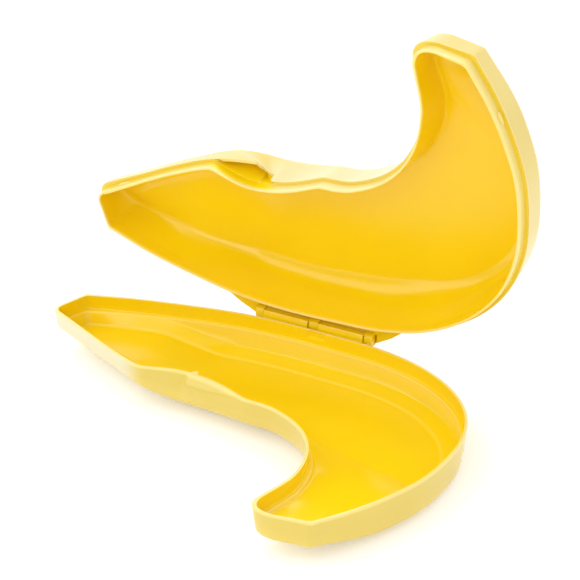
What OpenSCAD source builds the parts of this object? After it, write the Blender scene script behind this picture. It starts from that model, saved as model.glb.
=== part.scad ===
// Banana carrying case: a shallow tray and a domed lid of one outline, joined by a
// hook-and-bar hinge along the back and closed by a snap skirt with a thumb tab.
// Plan points are laid out from the hinge axis: x along it, y towards the back, z up from the rim.
// The case is drawn with its lid standing open.

/* [Case] */
// Length of the outline along the hinge axis
case_length = 192; // [184:1:200]
// Height of the tray from the surface it stands on to its rim
base_depth = 18.5; // [18:0.5:20]
// Depth of the lid from its mating face to its top
lid_depth = 22; // [21.5:0.5:23.5]
// How far the lid stands open, where 0 is closed
lid_angle = 90; // [0:5:180]

/* [Walls] */
// Thickness of the tray wall at the rim
wall = 1.6; // [1.4:0.1:1.8]
// Thickness of the tray's floor
floor_wall = 2; // [1.6:0.1:2.2]
// Thickness of the lid's top
top_wall = 1.5; // [1.3:0.1:1.8]
// Lean of the outer wall from the rim to the bilge
draft = 1.3; // [1:0.1:1.5]
// Inset of the lid's flat panel, and of the tray's floor, from the rim
panel_inset = 10.5; // [9:0.5:11]
// Inset of the foot that the tray stands on, along the outer curve
foot_inset = 8; // [7.5:0.5:9]
// Height of the step around the flat panel
panel_step = 0.9; // [0.6:0.1:1.2]

/* [Skirt] */
// Height of the lid's skirt, which plugs into the tray
skirt_height = 5.8; // [5.4:0.2:6.4]
// Thickness of the skirt
skirt_wall = 1.1; // [1:0.1:1.3]
// Gap between the skirt and the tray wall
skirt_gap = 0.5; // [0.45:0.05:0.7]
// Radius of the half-round snap beads on the skirt
bead_r = 2.8; // [1.8:0.1:3]
// How far a snap bead stands out of the skirt
bead_rise = 0.2; // [0.1:0.05:0.25]

/* [Thumb catch] */
// Depth of the thumb dent in the inner curve of the rim
dent = 7.8; // [6:0.2:8.4]
// Thickness of the thumb tab's skin
tab_wall = 1.8; // [1.4:0.1:2.2]
// Height of the thumb tab
tab_height = 11; // [9:0.5:12]
// Height of the catch nib above the rim
nib_rise = 1.8; // [1.2:0.1:2.2]

/* [Hinge] */
// Radius of the hinge bar
bar_r = 2; // [1.8:0.1:2.1]
// Running clearance between the bar and the hooks
bar_gap = 0.06; // [0.03:0.01:0.1]
// Wall of a hook around the bar
hook_wall = 1.7; // [1.4:0.1:1.8]
// Width of one hook's window in the lid's hinge flange
window_w = 21; // [16:0.5:21]
// Width of the rib between the two windows
rib_w = 4; // [3:0.5:6]
// Thickness of the hinge flange
flange_t = 2.2; // [1.8:0.1:2.6]

/* [Hidden] */
$fn = 48;
eps = 0.01;

base_colour = [0.96, 0.80, 0.18];
lid_colour = [0.97, 0.83, 0.24];

// Place of the hinge axis behind the origin, which is the middle of the foot
hinge_y = 35;
// Middle of the hinge along its axis
hinge_x = 5.5;
// Width of the knuckle at each end of the bar
knuckle_w = 3.5;
knuckle_r = bar_r + 1;
// Side play between a hook and its window
side_play = 0.4;
// Gap between the closed lid's mating face and the rim
seat_gap = 0.15;
// Depth of the lid's wall above its bilge
lid_wall_depth = lid_depth - 7;
// Depth of the ledge that the skirt stops over, and the inset of its inner edge
ledge_depth = skirt_height + 0.4;
ledge_inset = wall + 1.4;
skirt_out = wall + skirt_gap;
skirt_in = skirt_out + skirt_wall;

// Outline of the rim in paired points, outer curve and inner curve, from the tip to the stem end
outline_length = 192;
plan = case_length / outline_length;
outer_points = plan * [[-91.4, -21.9], [-70, -15.2], [-49, -10], [-28, -6], [-6, -4.3], [16, -4.6],
    [38, -5.9], [58.4, -11.2], [75.5, -21.2], [87.7, -35], [94, -51.5], [95, -68], [92.6, -86],
    [86, -103.5], [78.5, -117.5], [69, -131.5]];
inner_points = plan * [[-93, -42.2], [-76, -50], [-59, -58], [-41.5, -64.5], [-22, -67.4], [-2, -67.6],
    [16, -67.5], [26, -70.3], [34, -74.7], [40.5, -80.8], [45.2, -88.5], [47.8, -97], [48.5, -106],
    [47.3, -113], [45.3, -120], [43.6, -126]];
// Corner points that the rounded near corners of the tip and of the stem end are drawn towards
tip_corner = plan * [-96.9, -40.6];
tip_flat = plan * [-95.9, -36];
stem_corner = plan * [43, -134];
stem_flat = plan * [54, -133.6];

// Facets along each stretch between paired points, closest over the thumb dent
outer_steps = [3, 3, 3, 3, 3, 3, 3, 3, 3, 3, 3, 3, 3, 3, 6];
inner_steps = [2, 2, 3, 8, 8, 6, 2, 2, 2, 2, 2, 2, 2, 2, 3];
corner_steps = 4;

// Ends of the thumb dent, and its deepest place, along x
dent_start = plan * -41.5;
dent_mid = plan * -20;
dent_end = plan * 7.5;
// Stretch of the inner curve that the thumb tab spans
tab_stretch = 3;

function ramp(u) = let (c = min(1, max(0, u))) c * c * (3 - 2 * c);
function unit(v) = v / norm(v);
function total(list, n) = n == 0 ? 0 : list[n - 1] + total(list, n - 1);

// Smooth curve through a list of points, as one stretch's share t from point k
function along(p, k, t) =
    let (last = len(p) - 1,
         a = k == 0 ? 2 * p[0] - p[1] : p[k - 1],
         d = k == last - 1 ? 2 * p[last] - p[last - 1] : p[k + 2])
    0.5 * (2 * p[k] + (p[k + 1] - a) * t + (2 * a - 5 * p[k] + 4 * p[k + 1] - d) * t * t
           + (3 * p[k] - a - 3 * p[k + 1] + d) * t * t * t);
function curve(p, steps) =
    concat([for (k = [0 : len(steps) - 1]) for (i = [0 : steps[k] - 1]) along(p, k, i / steps[k])],
           [p[len(p) - 1]]);
// Corner drawn from a to b towards c, without its two ends
function rounded(a, c, b) =
    [for (i = [1 : corner_steps - 1]) let (t = i / corner_steps)
        (1 - t) * (1 - t) * a + 2 * t * (1 - t) * c + t * t * b];

outer_curve = curve(outer_points, outer_steps);
inner_curve = curve(inner_points, inner_steps);
sides = len(outer_curve) - 1;
stem_wall = concat([stem_flat], rounded(stem_flat, stem_corner, inner_curve[sides]));
tip_wall = concat(rounded(inner_curve[0], tip_corner, tip_flat), [tip_flat]);
stem_n = len(stem_wall);
tip_n = len(tip_wall);

// The rim, once round: outer curve, stem end, inner curve back to the tip, tip end
rim = concat(outer_curve, stem_wall, [for (j = [sides : -1 : 0]) inner_curve[j]], tip_wall);
count = len(rim);
inner_first = sides + 1 + stem_n;

// Inward directions: across the case on the long sides, and along it near the two ends
end_reach = 14;
function rungs(side, far) = [for (j = [0 : sides]) unit(far[j] - side[j])];
outer_rungs = rungs(outer_curve, curve(inner_points, outer_steps));
inner_rungs = rungs(inner_curve, curve(outer_points, inner_steps));
function middle(j) = (outer_curve[j] + inner_curve[j]) / 2;
tip_along = unit(middle(4) - middle(0));
stem_along = unit(middle(sides - 4) - middle(sides));
function tangent(i) = unit(rim[(i + 1) % count] - rim[(i + count - 1) % count]);
// Steps across a slanting wall are lengthened so that its thickness stays the same
function across(rung, i) = rung / max(0.7, abs(cross(rung, tangent(i))));
function side_inward(side, j, across) =
    across + tip_along * max(0, 1 - norm(side[j] - side[0]) / end_reach)
    + stem_along * max(0, 1 - norm(side[j] - side[sides]) / end_reach);
// How far across an end wall one of its points lies, from -1 to 1
function crossed(i, j) =
    1 - 2 * min(1, (rim[i] - outer_curve[j]) * outer_rungs[j] / norm(inner_curve[j] - outer_curve[j]));
inward = [for (i = [0 : count - 1])
    let (end = inner_first + sides, back = end - i, within = function (j) max(1, min(sides - 1, j)))
    i <= sides ? side_inward(outer_curve, i, across(outer_rungs[i], within(i))) :
    i < inner_first ? outer_rungs[sides] * crossed(i, sides) + stem_along :
    back >= 0 ? side_inward(inner_curve, back, across(inner_rungs[back], end - within(back))) :
    outer_rungs[0] * crossed(i, 0) + tip_along];

// Depth of the thumb dent at each point of the rim
function dent_at(x) =
    x <= dent_start || x >= dent_end ? 0 :
    x < dent_mid ? dent * sin(90 * (x - dent_start) / (dent_mid - dent_start)) :
    dent * cos(90 * (x - dent_mid) / (dent_end - dent_mid));
dents = [for (i = [0 : count - 1])
    i >= inner_first && i <= inner_first + sides && rim[i].y > plan * -80 ? dent_at(rim[i].x) : 0];

// Where the floor rises towards the tip and the stem end, and where the tip narrows
tip_rise = [for (p = rim) ramp((plan * -24 - p.x) / 36)];
stem_rise = [for (p = rim) ramp((plan * -100 - p.y) / 35)];
tip_narrow = [for (p = rim) ramp((plan * -58 - p.x) / 32)];
// How far across the case each point lies, from 0 on the outer curve to 1 on the inner curve
near = [for (i = [0 : count - 1])
    i <= sides ? 0 : i < inner_first ? (1 - crossed(i, sides)) / 2 :
    i <= inner_first + sides ? 1 : (1 - crossed(i, 0)) / 2];
function mixed(share, a, b) = a + (b - a) * share;
// A size that is one thing in the middle of the case, another at the tip and another at the stem end
function eased(i, middle, tip, stem) =
    middle + (tip - middle) * tip_rise[i] + (stem - middle) * stem_rise[i];
// Depths of the wall's lower edge and of the floor, for the tray and the lid
base_walls = [for (i = [0 : count - 1])
    eased(i, base_depth - 3.5 - 3.7 * near[i], base_depth - 10.7, base_depth - 7.2)];
base_floors = [for (i = [0 : count - 1]) eased(i, base_depth, base_depth - 5, base_depth - 3)];
// The lid stays deeper on the hinge side towards the tip
lid_walls = [for (i = [0 : count - 1])
    eased(i, lid_wall_depth, lid_depth - 12 - 2 * near[i], lid_depth - 10.4)];
lid_tops = [for (i = [0 : count - 1])
    eased(i, lid_depth, lid_depth - 7.4 - 3.5 * near[i], lid_depth - 6)];
// Inset of the outer wall's lower edge, less where the wall is low
base_lean = [for (w = base_walls) draft * w / (base_depth - 4)];
lid_lean = [for (w = lid_walls) draft * w / lid_wall_depth];
// Insets of the foot, of the tray's floor and of the lid's panel, less where the case is narrow
base_foot = [for (i = [0 : count - 1])
    mixed(near[i], foot_inset * (1 - 0.42 * tip_narrow[i] - 0.25 * stem_rise[i]),
          foot_inset + 5.5 - 3.2 * tip_narrow[i] - 1.5 * stem_rise[i])];
base_panel = [for (i = [0 : count - 1])
    mixed(near[i], panel_inset * (1 - 0.5 * tip_narrow[i] - 0.25 * stem_rise[i]),
          panel_inset + 4.5 - 4.5 * tip_narrow[i] - 2.5 * stem_rise[i])];
lid_panel = [for (i = [0 : count - 1]) panel_inset * eased(i, 1, 0.7, 0.75)];

// Share of the dent that is left at a depth: a flat face beside the tab, a scoop beyond the nib
scoop_left = dent_mid - 2;
function scoop_height(x) = 1.4 + 1.3 * sin(180 * min(1, max(0, (x - dent_mid) / (dent_end - dent_mid))));
function scoop_share(x, depth) = 0.4 + 0.6 * (1 - min(1, depth / scoop_height(x)));
function flat_share(i, depth) = 1 - 0.6 * min(1, depth / base_walls[i]);
function base_dent(i, depth) =
    let (x = rim[i].x, s = ramp((x - scoop_left + 1.2 * depth) / (3 + 1.2 * depth)))
    dents[i] * mixed(s, flat_share(i, depth), scoop_share(x, depth));
function lid_dent(i, depth) =
    let (s = ramp((rim[i].x - scoop_left + depth) / (4 + depth)))
    dents[i] * mixed(s, max(0, 1 - depth / (tab_height + 1)), 1 - 0.5 * min(1, depth / lid_wall_depth));
// Share of the dent at the lower edge of the inner wall
inner_dent = 0.78;

// A ring of points round the case: inset from the rim, dented, at a height
function at(i, inset, shift, z) = let (p = rim[i] + inward[i] * inset) [p.x, p.y + shift, z];

// Bilge from the wall to the panel's edge: its roundness pulls it out from the straight chamfer
bilge_steps = 4;
base_round = 0.6;
lid_round = 0.85;
function bilge(t, from, to, pull) =
    mixed(pull, from, to) * 2 * t * (1 - t) + from * (1 - t) * (1 - t) + to * t * t;

// Rings joined in order, round a closed outline
function band(a, b, n) =
    [for (i = [0 : n - 1]) let (k = (i + 1) % n)
        each [[a * n + i, b * n + i, b * n + k], [a * n + i, b * n + k, a * n + k]]];
// A ring closed by a ladder between its outer and its inner side, and a fan at each end
function ladder(r, n) =
    let (o = r * n, inner = function (j) o + inner_first + sides - j)
    concat(
        [for (j = [0 : sides - 1])
            each [[o + j, o + j + 1, inner(j + 1)], [o + j, inner(j + 1), inner(j)]]],
        [for (e = [0 : stem_n - 1]) [o + sides, o + sides + 1 + e, o + sides + 2 + e]],
        [for (e = [0 : tip_n - 1]) [inner(0), inner(0) + 1 + e, e == tip_n - 1 ? o : inner(0) + 2 + e]]);
function flipped(faces) = [for (f = faces) [f[2], f[1], f[0]]];

// A shell from rings that run from the outer panel over the rim to the inner panel
module shell(rings) {
    n = count;
    bands = [for (r = [0 : len(rings) - 2]) each band(r + 1, r, n)];
    faces = concat(flipped(ladder(0, n)), bands, ladder(len(rings) - 1, n));
    polyhedron(points = [for (ring = rings) each ring], faces = faces, convexity = 12);
}

module tray_place() { translate([0, hinge_y, base_depth]) children(); }
module lid_place() { tray_place() rotate([-lid_angle, 0, 0]) children(); }

rim_round = 0.6;

module base_shell() {
    all = [0 : count - 1];
    bilges = [for (k = [0 : bilge_steps]) k / bilge_steps];
    foot = [for (i = all) at(i, base_foot[i], base_dent(i, base_walls[i]) * 0.2, -base_floors[i])];
    outer_bilge = [for (k = [bilge_steps : -1 : 0]) [for (i = all) let (t = bilges[k], w = base_walls[i])
        at(i, bilge(t, base_lean[i], base_foot[i] - 1, 1 - base_round), base_dent(i, w) * (1 - 0.8 * t),
           -bilge(t, w, base_floors[i] - panel_step, base_round))]];
    wall_depths = [for (i = all) let (s = scoop_height(rim[i].x), w = base_walls[i])
        [mixed(0.67, s, w), mixed(0.33, s, w), s, (s + rim_round) / 2, rim_round]];
    outer_wall = [for (k = [0 : 4]) [for (i = all) let (depth = wall_depths[i][k])
        at(i, base_lean[i] * depth / base_walls[i], base_dent(i, depth), -depth)]];
    function floor_in(i) = max(ledge_depth + 0.9, base_floors[i] - floor_wall);
    function wall_in(i) = max(ledge_depth + 0.25, base_walls[i] - 1.2);
    rim_edges = [[rim_round * 0.8, 0], [wall - rim_round * 0.8, 0], [wall, -rim_round],
                 [wall + 0.1, -ledge_depth + 0.1], [ledge_inset, -ledge_depth]];
    rims = [for (e = rim_edges) [for (i = all) at(i, e[0], dents[i], e[1])]];
    inner_bilge = [for (t = bilges) [for (i = all)
        at(i, bilge(t, ledge_inset + 0.2, base_panel[i] - 1, 1 - base_round),
           dents[i] * inner_dent * (1 - 0.6 * t),
           -bilge(t, wall_in(i), floor_in(i) - panel_step * 0.6, base_round))]];
    panel = [for (i = all) at(i, base_panel[i], dents[i] * inner_dent * 0.2, -floor_in(i))];
    rings = concat([foot], outer_bilge, outer_wall, rims, inner_bilge, [panel]);
    color(base_colour) tray_place() shell(rings);
}

module lid_shell() {
    all = [0 : count - 1];
    bilges = [for (k = [0 : bilge_steps]) k / bilge_steps];
    panel = [for (i = all) at(i, lid_panel[i], lid_dent(i, lid_wall_depth) * 0.2, -lid_tops[i])];
    outer_bilge = [for (k = [bilge_steps : -1 : 0]) [for (i = all) let (t = bilges[k])
        at(i, bilge(t, lid_lean[i], lid_panel[i] - 1, 1 - lid_round),
           lid_dent(i, lid_wall_depth) * (1 - 0.8 * t),
           -bilge(t, lid_walls[i], lid_tops[i] - panel_step, lid_round))]];
    outer_wall = [for (u = [0.72, 0.4, rim_round / lid_wall_depth]) [for (i = all)
        at(i, lid_lean[i] * u, lid_dent(i, u * lid_wall_depth), -u * lid_walls[i])]];
    function top_in(i) = max(ledge_depth, lid_tops[i] - top_wall);
    function wall_in(i) = max(ledge_depth - 2, lid_walls[i] - 1.6);
    mating = [for (inset = [rim_round * 0.7, skirt_in]) [for (i = all) at(i, inset, dents[i], -seat_gap)]];
    inner_wall = [for (i = all) at(i, skirt_in + 0.05, dents[i] * 0.9, -wall_in(i) * 0.5)];
    inner_bilge = [for (t = bilges) [for (i = all)
        at(i, bilge(t, skirt_in + 0.1, lid_panel[i] - 1 + 0.9 * stem_rise[i], 1 - lid_round),
           dents[i] * inner_dent * (1 - 0.6 * t),
           -bilge(t, wall_in(i), top_in(i) - panel_step * 0.6, lid_round))]];
    top = [for (i = all) at(i, lid_panel[i] + 0.9 * stem_rise[i], dents[i] * inner_dent * 0.2, -top_in(i))];
    rings = concat([panel], outer_bilge, outer_wall, mating, [inner_wall], inner_bilge, [top]);
    color(lid_colour) lid_place() difference() {
        mirror([0, 0, 1]) shell(rings);
        // Notch in the mating face that clears the nib
        translate([nib_x - 0.5, nib_y - 1.5, seat_gap - 1]) cube([nib_w + 1, wall + 1.65, nib_rise + 1.5]);
    }
}

module lid_skirt() {
    n = count;
    profile = [[skirt_out, seat_gap], [skirt_out + 0.05, -1.5], [skirt_out + 0.2, -skirt_height + 0.4],
               [skirt_out + 0.4, -skirt_height], [skirt_in - 0.15, -skirt_height],
               [skirt_in, -skirt_height + 0.4], [skirt_in, seat_gap]];
    rings = [for (s = profile) [for (i = [0 : n - 1]) at(i, s[0], dents[i], s[1])]];
    faces = [for (r = [0 : len(rings) - 1]) each band(r, (r + 1) % len(rings), n)];
    points = [for (ring = rings) each ring];
    color(lid_colour) lid_place() polyhedron(points = points, faces = faces, convexity = 12);
}

// Skin that keeps the lid's wall straight over the dent, so that a thumb can push the lid up
module thumb_tab() {
    first = total(inner_steps, tab_stretch);
    last = first + inner_steps[tab_stretch];
    crest = tab_height * (1 - tab_wall / dent);
    start = seat_gap + 0.06;
    sections = [for (j = [first : last])
        let (i = inner_first + sides - j, share = lid_walls[i] / lid_wall_depth)
        [at(i, 0, 0, start),
         at(i, draft * share * tab_height / lid_wall_depth, lid_dent(i, tab_height) * 0.9,
            tab_height * share),
         at(i, draft * crest / lid_wall_depth + 0.4, lid_dent(i, crest), crest * share),
         at(i, tab_wall, 0, start)]];
    n = 4;
    ends = len(sections) - 1;
    faces = concat([[2, 1, 0], [3, 2, 0]], [for (s = [0 : ends - 1]) each band(s + 1, s, n)],
                   [for (k = [1 : 2]) [ends * n, ends * n + k, ends * n + k + 1]]);
    edge = inner_curve[last];
    color(lid_colour) lid_place() union() {
        polyhedron(points = [for (s = sections) each s], faces = faces, convexity = 4);
        translate([edge.x - 0.2, edge.y + 0.25, start]) cube([1.6, dent - 0.45, tab_height * 0.55]);
        translate([edge.x + 1, edge.y + 2.4, start]) cube([3.2, 2.8, tab_height * 0.4]);
    }
}

// Half-round beads on the skirt, one near each end of the case and one on each long side
bead_places = [1, total(inner_steps, 11), sides - 8, 14];
module snap_bead(i) {
    p = rim[i] + inward[i] * skirt_out;
    facing = tangent(i);
    color(lid_colour) lid_place() translate([p.x, p.y + dents[i], -0.9 + seat_gap])
        rotate([0, 0, atan2(facing.y, facing.x)])
        intersection() {
            rotate([-90, 0, 0]) translate([0, 0, -0.35]) cylinder(r = bead_r, h = bead_rise + 0.35);
            translate([-bead_r, -1, -bead_r]) cube([2 * bead_r, 3, bead_r + 0.8]);
        }
}
module snap_beads() {
    snap_bead(inner_first + sides - bead_places[0]);
    snap_bead(inner_first + sides - bead_places[1]);
    snap_bead(bead_places[2]);
    snap_bead(bead_places[3]);
}

// Tooth on the rim of the tray, beside the thumb tab's end
nib_w = 3.2;
nib_x = dent_mid + 0.6;
nib_y = inner_points[4].y + dent;
module catch_nib() {
    tooth = [[0.3, -1.2], [wall - 0.15, -1.2], [wall - 0.15, nib_rise - 0.5], [wall - 0.5, nib_rise],
             [0.8, nib_rise], [0.3, nib_rise - 0.7]];
    color(base_colour) tray_place() translate([nib_x, nib_y, 0]) rotate([90, 0, 90])
        linear_extrude(nib_w) polygon(tooth);
}

// Hinge: windows in the lid's flange, with a hook of the tray round the bar in each
left_window = hinge_x - rib_w / 2 - window_w;
right_window = hinge_x + rib_w / 2;
bar_start = left_window - knuckle_w;
bar_end = right_window + window_w + knuckle_w;

module x_cylinder(r, from, to) {
    translate([from, 0, 0]) rotate([0, 90, 0]) cylinder(r = r, h = to - from);
}

module hook(from) {
    a = from + side_play;
    b = from + window_w - side_play;
    r = bar_r + bar_gap;
    foot = 7;
    reach = outer_points[4].y;
    color(base_colour) tray_place() difference() {
        union() {
            x_cylinder(r + hook_wall, a, b);
            translate([a, reach - 0.6, -foot]) cube([b - a, -reach - r * 0.2, foot - 0.6]);
        }
        x_cylinder(r, a - 1, b + 1);
        // Mouth that snaps over the bar from above
        translate([a - 1, 0, 0]) rotate([90, 0, 90]) linear_extrude(b - a + 2)
            polygon([[0, 0], [9 * cos(50), 9 * sin(50)], [0, 9], [9 * cos(140), 9 * sin(140)]]);
        // Slope under the hook
        translate([a - 1, 0, 0]) rotate([90, 0, 90]) linear_extrude(b - a + 2)
            polygon([[reach + 0.3, -foot - 1], [reach + 0.3, -foot + 0.4], [-1.2, -3.9], [4, -3.9],
                     [4, -foot - 1]]);
    }
}
module hinge_hook_left() { hook(left_window); }
module hinge_hook_right() { hook(right_window); }

// Wing of the flange: a plate from the lid's wall to a knuckle on the bar
module wing(root, from, to) {
    inner_edge = [for (p = outer_curve)
        if (p.x > min(root, from) - 6 && p.x < max(root, to) + 6) p + [0, -0.3]];
    out = knuckle_r * 0.75;
    color(lid_colour) lid_place() difference() {
        union() {
            translate([0, 0, seat_gap]) linear_extrude(flange_t) intersection() {
                polygon(concat(inner_edge, [[inner_edge[len(inner_edge) - 1].x, 8], [inner_edge[0].x, 8]]));
                polygon(root < from
                    ? [[root, -9], [root, -6.6], [(root + from) / 2, -1.6], [from, out], [to, out],
                       [to, -9]]
                    : [[from, -9], [from, out], [to, out], [(root + to) / 2, -2.2], [root, -8.4],
                       [root, -9]]);
            }
            x_cylinder(knuckle_r, from, to);
        }
        x_cylinder(bar_r, from - 1, to + 1);
        translate([from - 1, -9, -knuckle_r - 1])
            cube([to - from + 2, 9 - knuckle_r + eps, knuckle_r + 1 + seat_gap]);
    }
}
module hinge_wing_left() { wing(plan * -38, bar_start, left_window); }
module hinge_wing_right() { wing(plan * 47, right_window + window_w, bar_end); }

module hinge_rib() {
    from = left_window + window_w;
    color(lid_colour) lid_place() difference() {
        union() {
            translate([from, outer_points[4].y - 0.3, seat_gap])
                cube([rib_w, -outer_points[4].y + 0.3, flange_t]);
            x_cylinder(knuckle_r, from, from + rib_w);
        }
        x_cylinder(bar_r, from - 1, from + rib_w + 1);
    }
}

module hinge_bar() { color(lid_colour) lid_place() x_cylinder(bar_r, bar_start, bar_end); }

base_shell();
catch_nib();
hinge_hook_left();
hinge_hook_right();
lid_shell();
lid_skirt();
thumb_tab();
snap_beads();
hinge_wing_left();
hinge_wing_right();
hinge_rib();
hinge_bar();
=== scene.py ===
import math

import bmesh
import bpy
import numpy as np
from mathutils import Matrix, Vector


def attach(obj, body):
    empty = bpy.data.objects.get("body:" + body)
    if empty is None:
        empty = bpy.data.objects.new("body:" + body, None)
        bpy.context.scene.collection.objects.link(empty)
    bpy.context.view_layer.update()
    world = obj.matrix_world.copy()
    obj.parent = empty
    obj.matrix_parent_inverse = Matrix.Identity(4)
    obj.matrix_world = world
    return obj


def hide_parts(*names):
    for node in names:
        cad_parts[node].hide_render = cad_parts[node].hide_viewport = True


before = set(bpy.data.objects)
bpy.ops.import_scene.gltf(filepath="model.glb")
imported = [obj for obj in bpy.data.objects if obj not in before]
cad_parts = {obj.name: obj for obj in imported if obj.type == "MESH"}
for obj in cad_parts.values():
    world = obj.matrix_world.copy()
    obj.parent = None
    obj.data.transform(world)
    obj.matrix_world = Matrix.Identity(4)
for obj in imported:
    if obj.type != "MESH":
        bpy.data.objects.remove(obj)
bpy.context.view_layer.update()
print("frame loaded:", len(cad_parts), "nodes")

mm = 0.001
mergeGap = 2e-6      # metres, points closer than this are one

# all sizes below are millimetres, laid out from the hinge axis: x along it, y to the back
caseSizes = {
    "trayDepth": 18.5,        # rim above the table
    "hingeBack": 35.0,        # hinge axis behind the middle of the foot
    "wall": 1.2,              # at the rim
    "lean": 1.3,              # draft of the outer walls
    "panelStep": 0.9,         # low step round the flat panels
    "stepWidth": 1.0,
    "stepRound": 0.6,
    "footRound": 0.5,         # edge of the panels outside
    "panelEdge": 0.8,         # last row of the panels inside
    "creaseShare": 0.6,       # share of the step that shows inside
    "footDent": 0.2,          # share of the dent left at the outer panels
    "panelDents": (0.4, 0.2, 0.15),   # the same inside, at the crease and past it
    "ledgeDepth": 6.2,        # where the skirt stops inside the tray
    "tipRise": (-24, 36),     # from this x on the case gets shallower towards the tip, over this length
    "tipNarrow": (-58, 32),   # and its panels narrower
    "stemRise": (-100, 35),   # from this y on it gets shallower towards the stem
    "cornerSoftness": 0.4,    # corners of the rim
    "dentSoftness": 1.2,
    "deepSoftness": 3.0,      # corners of the rows that lie far in from the rim
    "deepFrom": (2.5, 5.0),   # inset where that starts, and over what inset it takes hold
    "roundShare": 0.45,       # a rounding takes at most this share of the stretches beside it
    "capRows": (4, 24),       # rows across a plain panel, and across one with a relief
    "paintedGlowFade": 0.35,        # the painted glow dies out over this share of the depth
}

outline = {
    "outer": [
        (-91.4, -21.9), (-70, -15.2), (-49, -10), (-28, -6), (-6, -4.3), (16, -4.6), (38, -5.9),
        (58.4, -11.2), (75.5, -21.2), (87.7, -35), (94, -51.5), (95, -68), (92.6, -86), (86, -103.5),
        (78.5, -117.5), (69, -131.5)],
    "inner": [
        (-93, -42.2), (-76, -50), (-59, -58), (-41.5, -64.5), (-22, -67.4), (-2, -67.6), (16, -67.5),
        (26, -70.3), (34, -74.7), (40.5, -80.8), (45.2, -88.5), (47.8, -97), (48.5, -106), (47.3, -113),
        (45.3, -120), (43.6, -126)],
    "steps": [24, 14, 20, 44, 60, 30, 14, 12, 12, 12, 12, 12, 12, 14, 24],   # stations, close over the dent
    "tipCorner": (-96.9, -40.6),
    "tipFlat": (-95.9, -36),
    "stemCorner": (43, -134),
    "stemFlat": (54, -133.6),
    "tipStations": 9,
    "stemStations": 8,
    "cornerStations": 14,
    "tipStretches": 2,     # stretches that give the direction along the case at the tip
    "endReach": 22.0,      # how far the end walls pull the insets along the case
    "endCrowding": 1.8,    # stations crowd towards the corners at both ends
    "leastSlant": 0.7,     # limits the insets where a wall runs along its rung
}

thumbDent = {
    "depth": 7.8,
    "start": -41.5,             # x
    "middle": -20.0,
    "end": 7.5,
    "lowest": -80.0,            # y, the rim past this has no dent
    "wallFade": 0.6,            # share of the dent lost down the tray's wall
    "scoopLeft": -20.8,
    "scoopDepth": (5.6, 1.5),   # beside the nib, and where it runs out
    "scoopFall": 1.6,           # power of that change along the dent
    "scoopFloor": 0.4,          # share of the dent left under the scoop
    "scoopBow": 2.4,            # how far its left edge bows out
    "scoopEdge": 2.8,           # width of that edge
    "scoopBlend": (0.5, 16.0),  # from this share of the depth down the edge widens, by this much
}


def unit(v):
    v = np.asarray(v, float)
    return v / np.linalg.norm(v, axis=-1, keepdims=True)


def ramp(u):
    c = np.clip(u, 0, 1)
    return c * c * (3 - 2 * c)


def rampUp(values, start, run):
    return ramp((values - start) / run)


def rampDown(values, start, run):
    return ramp((start - values) / run)


def mixed(share, a, b):
    return a + (b - a) * share


def arc(t, a, corner, b):
    return (1 - t) ** 2 * a + 2 * t * (1 - t) * corner + t ** 2 * b


def throughPoints(points, steps):   # a smooth curve through all points
    p = np.array(points, float)
    ends = np.vstack([2 * p[0] - p[1], p, 2 * p[-1] - p[-2]])
    out = []
    for k, n in enumerate(steps):
        a, b, c, d = ends[k:k + 4]
        t = (np.arange(n) / n)[:, None]
        if k == 0:
            t = t ** outline["endCrowding"]
        if k == len(steps) - 1:
            t = 1 - (1 - t) ** outline["endCrowding"]
        square = (2 * a - 5 * b + 4 * c - d) * t ** 2
        cube = (3 * b - a - 3 * c + d) * t ** 3
        out.append(0.5 * (2 * b + (c - a) * t + square + cube))
    return np.vstack(out + [p[-1:]])


def cornerCurve(a, corner, b):
    steps = outline["cornerStations"]
    t = (np.arange(1, steps) / steps)[:, None]
    return arc(t, np.array(a), np.array(corner), np.array(b))


# the rim as a closed row of stations: outer curve, stem end, inner curve back to the tip, tip end
outerSide = throughPoints(outline["outer"], outline["steps"])
innerSide = throughPoints(outline["inner"], outline["steps"])
last = len(outerSide) - 1
rungs = unit(innerSide - outerSide)
middles = (outerSide + innerSide) / 2
tipAlong = unit(middles[sum(outline["steps"][:outline["tipStretches"]])] - middles[0])
stemAlong = unit(middles[last - outline["steps"][-1]] - middles[last])
stemFlat, tipFlat = np.array(outline["stemFlat"]), np.array(outline["tipFlat"])
stemShares = np.linspace(0, 1, outline["stemStations"] + 1)[1:, None]
tipShares = np.linspace(0, 1, outline["tipStations"] + 1)[:-1, None]
stemWall = np.vstack([mixed(stemShares, outerSide[last], stemFlat),
                      cornerCurve(stemFlat, outline["stemCorner"], innerSide[last])])
tipWall = np.vstack([cornerCurve(innerSide[0], outline["tipCorner"], tipFlat),
                     mixed(tipShares, tipFlat, outerSide[0])])
rim = np.vstack([outerSide, stemWall, innerSide[::-1], tipWall])
count = len(rim)
innerFirst = last + 1 + len(stemWall)
tipFirst = innerFirst + last + 1
pairing = np.concatenate([   # rung of every station
    np.arange(last + 1), np.full(len(stemWall), last), np.arange(last, -1, -1), np.zeros(len(tipWall), int)])


def crossed(points, j):   # from 1 at the outer side to -1 at the inner one, along a rung
    width = np.linalg.norm(innerSide[j] - outerSide[j])
    return 1 - 2 * np.clip((points - outerSide[j]) @ rungs[j] / width, 0, 1)


def endPull(side, end):
    return np.clip(1 - np.linalg.norm(side - side[end], axis=1) / outline["endReach"], 0, 1)[:, None]


def sideInward(side, across):
    return across + endPull(side, 0) * tipAlong + endPull(side, last) * stemAlong


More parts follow.
